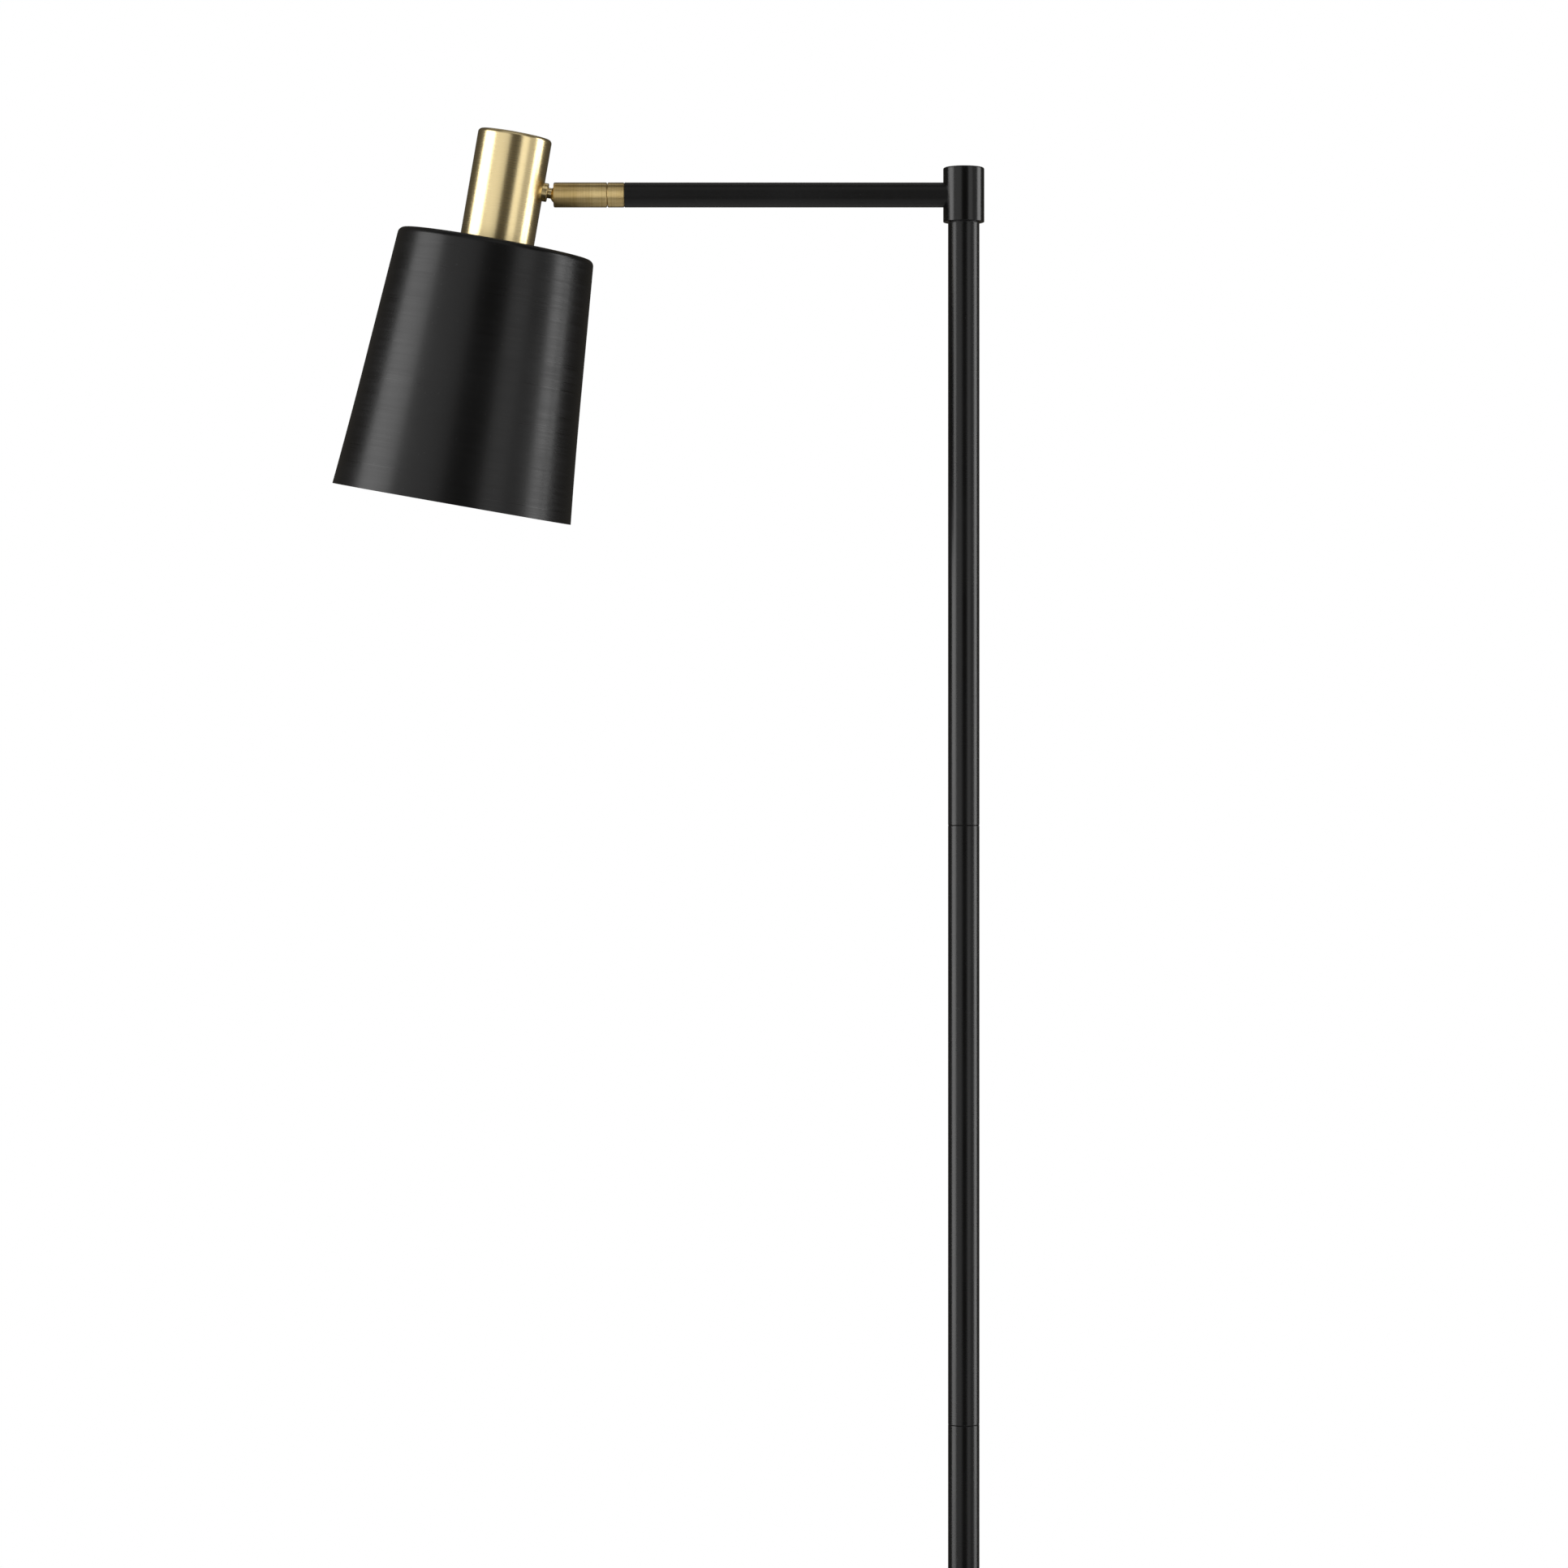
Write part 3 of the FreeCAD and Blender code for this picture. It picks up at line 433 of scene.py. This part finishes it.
for sub in frame["record"]["subparts"]:
    look = NODE_LOOK.get(sub["node"], SLOT_LOOK[sub["material_slot"]])
    for s in NODES[sub["node"]].material_slots:
        s.material = look

# ---- shade and cup: heights run along the cup's axis, 0 level with the neck --------------
SHADE_TOP = -35.5
SHADE_WALL = 0.8
SHADE_HEIGHT = 160.2
SHADE_HOLE_R = 20.0
SHADE_CROWN_R = 59.8
SHADE_SHOULDER = 4.0
SHADE_CONE = 84.0             # height of the side that is a plain cone
SHADE_CONE_R = 66.5
SHADE_SLOPE = math.tan(math.radians(4.55))
SHADE_MOUTH_R = 73.4
FLARE_STEPS = 14
HOLE_EDGE = 0.25
LIP_ROUND = (0.12, 0.14)      # how far the cut edge of the mouth is eased, in and up
CUP_TOP = 31.6
CUP_R = 22.55
CUP_WALL = 1.2
CUP_SHOULDER = 2.5
CUP_RIM_ROUND = (0.35, 0.15)  # outer and inner edge
CUP_GAP = 0.02                # from the cup's rim to the shade


def shade_crown(inset, edge):
    """Crown from the hole to the top of the cone, at a distance inside its outer face."""
    low = SHADE_TOP - SHADE_CONE
    rows = rounded([(SHADE_HOLE_R, SHADE_TOP - inset, edge),
                    (SHADE_CROWN_R - inset, SHADE_TOP - inset, SHADE_SHOULDER - inset),
                    (SHADE_CONE_R - inset, low, 0), (SHADE_HOLE_R, low, 0)], 10)
    return [p for p in rows if p[1] > low + 1.0]


def shade_side(inset):
    """Side of the shade from cone to flared rim, at a distance inside its outer face."""
    flare = SHADE_MOUTH_R - SHADE_CROWN_R - SHADE_SLOPE * SHADE_HEIGHT
    rows = []
    for k in range(FLARE_STEPS + 1):
        t = k / FLARE_STEPS
        h = SHADE_CONE + (SHADE_HEIGHT - SHADE_CONE) * t
        rows.append((SHADE_CROWN_R + SHADE_SLOPE * h + flare * t * t - inset, SHADE_TOP - h))
    return rows


def build_shade():
    """Spun shell: rounded crown, conical side, flared mouth with a softened cut edge."""
    ease_in, ease_up = LIP_ROUND
    crown = [(SHADE_HOLE_R, SHADE_TOP - SHADE_WALL)] + shade_crown(0.0, HOLE_EDGE)
    crown_in = shade_crown(SHADE_WALL, 0.0)[:0:-1]
    outer = shade_side(0.0)
    inner = shade_side(SHADE_WALL)
    mouth_r, mouth_z = outer[-1]
    low_z = mouth_z + 0.02
    lip = [(mouth_r - ease_in, low_z), (mouth_r - SHADE_WALL + ease_in, low_z)]
    outer[-1] = (mouth_r, mouth_z + ease_up)
    inner[-1] = (mouth_r - SHADE_WALL, mouth_z + ease_up)
    first_in = len(crown) + len(outer) + 1
    obj = lathe("shade_shell", crown + outer + lip + inner[::-1] + crown_in, CUP_FRAME,
                [M_SHADE, M_ENAMEL], pick=lambda i: 1 if i >= first_in else 0, segments=256)
    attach(obj, "head")
    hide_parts("shade")


def build_cup():
    """Turned cup, open below, with a soft shoulder and eased edges at its rim."""
    rim = SHADE_TOP + CUP_GAP
    bore = CUP_R - CUP_WALL
    roof = CUP_TOP - CUP_WALL
    edge_out, edge_in = CUP_RIM_ROUND
    outline = rounded([(0.0, CUP_TOP, 0), (CUP_R, CUP_TOP, CUP_SHOULDER), (CUP_R, rim, edge_out),
                       (bore, rim, edge_in), (bore, roof, CUP_SHOULDER - CUP_WALL), (0.0, roof, 0)], 8)
    obj = lathe("cup_shell", outline, CUP_FRAME, [M_CUP], segments=224)
    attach(obj, "head")
    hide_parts("cup")


# ---- arm end: heights run along the arm, from the pole's axis ----------------------------
BRASS_R = 7.55
BRASS_SHARP = 28.0            # keeps the cut edges crisp and the ridges soft, in degrees
EDGE_CUT = 0.45               # 45 degree cuts at the gap between ring and sleeve
REAR_CUT = 0.55               # and where the ring meets the arm
RING_LOW = 205.75
RING_HIGH = 216.0
RIDGES_LOW = 206.8
RIDGES_HIGH = 214.6
RIDGE_PITCH = 0.65
RIDGE_DEPTH = 0.035
SHANK_BORE = 4.5
SPIGOT_LOW = 192.7
SPIGOT_R = 6.53
SLEEVE_LOW = 216.3
SLEEVE_HIGH = 248.7
SLEEVE_BORE = 6.3
BODY_LOW = 218.0              # the straight body is a stack of short bands
BODY_STEP = 1.3
BODY_ROWS = 22
NOSE_LOW = 247.0
NOSE_ROUND = 2.3
MOUTH_LOW = 246.0
MOUTH_R = 5.0
SEAT_R = 6.06
SEAT_FROM = 56.0              # degrees from the arm's axis, at the mouth
SEAT_TO = 90.0
SEAT_STEPS = 12


def ridged(z0, z1, r, pitch, depth):
    """Fine turned ridges between two heights on a cylinder."""
    rows = []
    count = round((z1 - z0) / pitch)
    step = (z1 - z0) / count
    for k in range(count):
        base = z0 + k * step
        rows += [(r - depth, base), (r, base + 0.3 * step), (r, base + 0.7 * step)]
    rows.append((r - depth, z1))
    return rows


def build_ferrule():
    """Rear ring with close ridges, and the spigot that carries it in the arm."""
    r = BRASS_R
    ring = [(SHANK_BORE, RING_LOW), (r - REAR_CUT, RING_LOW), (r, RING_LOW + REAR_CUT),
            (r, RIDGES_LOW - 0.1)]
    ring += ridged(RIDGES_LOW, RIDGES_HIGH, r, RIDGE_PITCH, RIDGE_DEPTH)
    ring += [(r, RIDGES_HIGH + 0.2), (r, RING_HIGH - EDGE_CUT), (r - EDGE_CUT, RING_HIGH),
             (SHANK_BORE, RING_HIGH)]
    obj = lathe("ferrule_ring", ring, ARM_FRAME, [M_SLEEVE], sharp=BRASS_SHARP)
    outline = [(SHANK_BORE, SPIGOT_LOW), (SPIGOT_R, SPIGOT_LOW),
               (SPIGOT_R, RING_LOW), (SHANK_BORE, RING_LOW)]
    spigot = lathe("ferrule_spigot", outline, ARM_FRAME, [M_SLEEVE])
    for o in (obj, spigot):
        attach(o, "arm")
    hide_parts("ferrule")


def build_sleeve():
    """Front sleeve: straight body, rounded nose and the seat that the ball turns in."""
    r = BRASS_R
    body = [(SLEEVE_BORE, SLEEVE_LOW), (r - EDGE_CUT, SLEEVE_LOW), (r, SLEEVE_LOW + EDGE_CUT),
            (r, SLEEVE_LOW + 0.9)]
    body += [(r, BODY_LOW + BODY_STEP * k) for k in range(BODY_ROWS)]
    nose = rounded([(r, NOSE_LOW, 0), (r, SLEEVE_HIGH, NOSE_ROUND), (MOUTH_R, SLEEVE_HIGH, 0.05),
                    (MOUTH_R, MOUTH_LOW, 0)], 10)
    nose = [p for p in nose if p[1] > MOUTH_LOW + 0.2]
    seat = []
    for k in range(SEAT_STEPS + 1):
        a = math.radians(SEAT_FROM + (SEAT_TO - SEAT_FROM) * k / SEAT_STEPS)
        seat.append((SEAT_R * math.sin(a), BALL_ALONG + SEAT_R * math.cos(a)))
    outline = body + nose + seat + [(SLEEVE_BORE, BALL_ALONG)]
    obj = lathe("sleeve_shell", outline, ARM_FRAME, [M_SLEEVE], sharp=BRASS_SHARP)
    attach(obj, "socket")
    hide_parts("socket_sleeve")


# ---- bulb and holder: heights run along the cup's axis -----------------------------------
BULB_Z = -94.4                # centre of the bulb's ball
BULB_R = 30.0
BULB_NECK_Z = -43.0
BULB_NECK_R = 13.0
GLASS_WALL = 0.8
CAP_R = 13.05
CAP_ROWS = 81
CAP_THREAD = (-41.5, -24.0, 3.6, 0.9, 12.9)
CAP_TOP = -18.9               # top of the insulator, under the tip
TIP_TOP = -17.4
HOLDER_LOW = -52.0
HOLDER_R = 19.2
HOLDER_ROWS = 155
HOLDER_END_R = 18.6           # either end of the threaded wall
HOLDER_BORE = 15.6
HOLDER_SHOULDER = (17.4, -10.5)
HOLDER_DOME = (12.0, -3.0)
HOLDER_WEB = -17.0            # underside of the web that carries the contact
NIPPLE_HOLE_R = 5.0
CONTACT_HOLE_R = 1.2
WIRE_ROOM = (9.5, -8.0, -14.0)
HOLDER_THREAD = (-51.0, -14.0, 2.6, 0.7, 19.0)
THREAD_ROW = 0.25             # height between the rows of a threaded wall
RING_BORE = 19.25
RING_HUB_R = 22.5
RING_FLANGE_R = 28.0
RING_HEIGHT = 6.0
FLANGE_HEIGHT = 2.0
RING_RIBS = 48
RIB_DEPTH = 0.45
STEPS_PER_RIB = 6


def build_bulb():
    """Opal bulb: glass shell closed into a rolled screw cap with its insulator and tip."""
    drop = BULB_NECK_Z - BULB_Z
    # radius of the hollow curve that leaves the neck straight and runs smoothly into the ball
    hollow = (BULB_NECK_R ** 2 + drop ** 2 - BULB_R ** 2) / (2 * (BULB_R - BULB_NECK_R))
    turn = math.atan2(drop, BULB_NECK_R + hollow)
    neck_steps, ball_steps = 14, 32
    outline = []
    for inset, order in ((0.0, 1), (GLASS_WALL, -1)):
        side = []
        neck_arc, ball = hollow + inset, BULB_R - inset
        for k in range(neck_steps + 1):
            a = math.pi + turn * k / neck_steps
            side.append((BULB_NECK_R + hollow + neck_arc * math.cos(a),
                         BULB_NECK_Z + neck_arc * math.sin(a)))
        for k in range(1, ball_steps + 1):
            a = turn + (-math.pi / 2 - turn) * k / ball_steps
            side.append((max(0.0, ball * math.cos(a)), BULB_Z + ball * math.sin(a)))
        outline += side[::order]
    obj = lathe("bulb_glass_shell", outline, CUP_FRAME, [M_GLASS], segments=128)
    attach(obj, "head")
    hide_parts("bulb_glass")

    wall = [(CAP_R, BULB_NECK_Z + THREAD_ROW * k) for k in range(CAP_ROWS)]
    # the shoulder rolled in over the insulator, outside and then inside
    rolled = [(12.2, -22.4), (8.2, -19.2), (7.6, -19.4), (11.6, -23.4)]
    outline = [(12.4, BULB_NECK_Z)] + wall + rolled
    cap = threaded("bulb_screw_cap", outline, CUP_FRAME, [M_BULB_METAL], CAP_THREAD)
    outline = [(0, -21.5), (7.9, -20.2), (4.9, CAP_TOP), (0, CAP_TOP)]
    seat = lathe("bulb_insulator", outline, CUP_FRAME, [M_PHENOLIC])
    outline = rounded([(0, CAP_TOP, 0), (4.6, CAP_TOP, 0.3), (3.4, TIP_TOP, 0.6), (0, TIP_TOP, 0)])
    tip = lathe("bulb_tip", outline, CUP_FRAME, [M_ZINC], segments=64)
    for o in (cap, seat, tip):
        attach(o, "head")
    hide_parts("bulb_base")


def build_holder():
    """Screw holder with the coarse outside thread that takes the shade ring."""
    shoulder_r, shoulder_z = HOLDER_SHOULDER
    dome_r, dome_z = HOLDER_DOME
    room_r, room_top, room_floor = WIRE_ROOM
    wall = [(HOLDER_R, HOLDER_LOW + 1.0 + THREAD_ROW * k) for k in range(HOLDER_ROWS)]
    top = [(HOLDER_END_R, shoulder_z - 0.8), (shoulder_r, shoulder_z), (dome_r, shoulder_z),
           (dome_r, dome_z - 1.6), (dome_r - 0.6, dome_z - 0.5), (dome_r - 1.8, dome_z),
           (NIPPLE_HOLE_R, dome_z)]
    inside = [(NIPPLE_HOLE_R, room_top), (room_r, room_top), (room_r, room_floor),
              (CONTACT_HOLE_R, room_floor), (CONTACT_HOLE_R, HOLDER_WEB), (HOLDER_BORE, HOLDER_WEB)]
    outline = [(HOLDER_BORE, HOLDER_LOW), (HOLDER_END_R, HOLDER_LOW)] + wall + top + inside
    obj = threaded("holder_shell", outline, CUP_FRAME, [M_PHENOLIC], HOLDER_THREAD)
    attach(obj, "head")
    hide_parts("holder_body")


def build_shade_ring():
    """Screwed ring that clamps the shade: a flange under the crown and a hub with finger ribs."""
    top = SHADE_TOP - SHADE_WALL
    low = top - RING_HEIGHT
    flange = top - FLANGE_HEIGHT
    rows = [(RING_BORE, low, 0), (RING_HUB_R - 0.6, low, 0), (RING_HUB_R, low + 0.5, RIB_DEPTH),
            (RING_HUB_R, flange - 0.3, RIB_DEPTH), (RING_FLANGE_R - 0.6, flange, 0),
            (RING_FLANGE_R, flange + 0.4, 0), (RING_FLANGE_R, top - 0.3, 0),
            (RING_FLANGE_R - 0.3, top, 0), (RING_BORE, top, 0)]
    bm = bmesh.new()
    segments = RING_RIBS * STEPS_PER_RIB
    rings = [circle(bm, z, segments,
                    lambda a, r=r, rib=rib: r - rib * (0.5 - 0.5 * math.cos(a * RING_RIBS)))
             for r, z, rib in rows]
    skin(bm, rings, segments)
    obj = finish_mesh("shade_ring_ribbed", bm, CUP_FRAME, [M_PHENOLIC], 40.0)
    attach(obj, "head")
    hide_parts("shade_ring")


build_shade()
build_cup()
build_ferrule()
build_sleeve()
build_bulb()
build_holder()
build_shade_ring()

# ---- camera ------------------------------------------------------------------------------
VIEW_DISTANCE = 2.8
CAMERA_X = -0.109
CAMERA_DROP = 0.3572          # camera height below the arm's axis
LENS_MM = 106.0
SENSOR_MM = 36.0
data = bpy.data.cameras.new("camera")
data.lens = LENS_MM
data.sensor_width = SENSOR_MM
data.clip_end = 60.0
camera = bpy.data.objects.new("camera", data)
camera.location = (CAMERA_X, -VIEW_DISTANCE, ARM_Z - CAMERA_DROP)
camera.rotation_euler = (math.radians(90), 0, 0)
scene.collection.objects.link(camera)
scene.camera = camera

# ---- floor, light ------------------------------------------------------------------------
FLOOR_R = 1.7
FLOOR_X = -0.1
FLOOR_GLOW = 0.12             # keeps the floor pale beyond the reach of the soft boxes
bm = bmesh.new()
bmesh.ops.create_circle(bm, cap_ends=True, segments=128, radius=FLOOR_R)
floor_look = moulded("floor_paper", (0.92, 0.92, 0.92), (0.90, 0.90, 0.902), 0.75, 60.0, 0.0001)
floor_shader = floor_look.node_tree.nodes["Principled BSDF"]
floor_shader.inputs["Emission Color"].default_value = (1.0, 1.0, 1.0, 1.0)
floor_shader.inputs["Emission Strength"].default_value = FLOOR_GLOW
floor = finish_mesh("floor", bm, Matrix.Translation((FLOOR_X, 0, 0)), [floor_look], 35.0)

SPREAD = math.radians(120)
SOFT_BOXES = (  # name, bearing and elevation in degrees, distance, width, height, radiance
    ("soft_left", 79, 0, 2.3, 1.55, 2.6, 4.6),
    ("soft_right", -93, 0, 2.3, 1.15, 2.6, 4.8),
    ("fill_left", 35, 0, 2.2, 1.75, 2.6, 1.05),
    ("fill_right", -36, 0, 2.2, 1.0, 2.6, 1.4),
    ("wash_right", -61, 0, 2.4, 0.95, 2.6, 0.5),
    ("top_front", 0, 56, 2.3, 2.6, 1.3, 0.6),
    ("top_back", 0, 112, 2.3, 2.6, 0.9, 0.5),
)


def soft_box(name, bearing, elevation, distance, width, height, radiance):
    """Rectangular soft box aimed at the top of the lamp. bearing is turned from the camera's
    side towards -X; elevation is above the arm's level."""
    a = math.radians(bearing)
    e = math.radians(elevation)
    away = Vector((-math.sin(a) * math.cos(e), -math.cos(a) * math.cos(e), math.sin(e)))
    light = bpy.data.lights.new(name, "AREA")
    light.shape = "RECTANGLE"
    light.size = width
    light.size_y = height
    light.spread = SPREAD
    light.energy = radiance * math.pi * width * height * (1 - SPREAD / 2 / math.tan(SPREAD / 2))
    obj = bpy.data.objects.new(name, light)
    obj.location = Vector((0, 0, ARM_Z)) + away * distance
    obj.rotation_euler = away.to_track_quat("Z", "Y").to_euler()
    obj.visible_camera = False
    scene.collection.objects.link(obj)


for box in SOFT_BOXES:
    soft_box(*box)

# The camera sees a white backdrop; everything else gets only a dim fill from it.
BACKDROP = (1, 1, 1, 1)
DIM_FILL = (0.066, 0.060, 0.050, 1)
world = bpy.data.worlds.new("studio")
scene.world = world
world.use_nodes = True
tree = world.node_tree
tree.nodes.clear()
path = tree.nodes.new("ShaderNodeLightPath")
dim = tree.nodes.new("ShaderNodeBackground")
dim.inputs["Color"].default_value = DIM_FILL
white = tree.nodes.new("ShaderNodeBackground")
white.inputs["Color"].default_value = BACKDROP
mix = tree.nodes.new("ShaderNodeMixShader")
out = tree.nodes.new("ShaderNodeOutputWorld")
tree.links.new(path.outputs["Is Camera Ray"], mix.inputs["Fac"])
tree.links.new(dim.outputs["Background"], mix.inputs[1])
tree.links.new(white.outputs["Background"], mix.inputs[2])
tree.links.new(mix.outputs["Shader"], out.inputs["Surface"])
scene.view_settings.view_transform = "Standard"
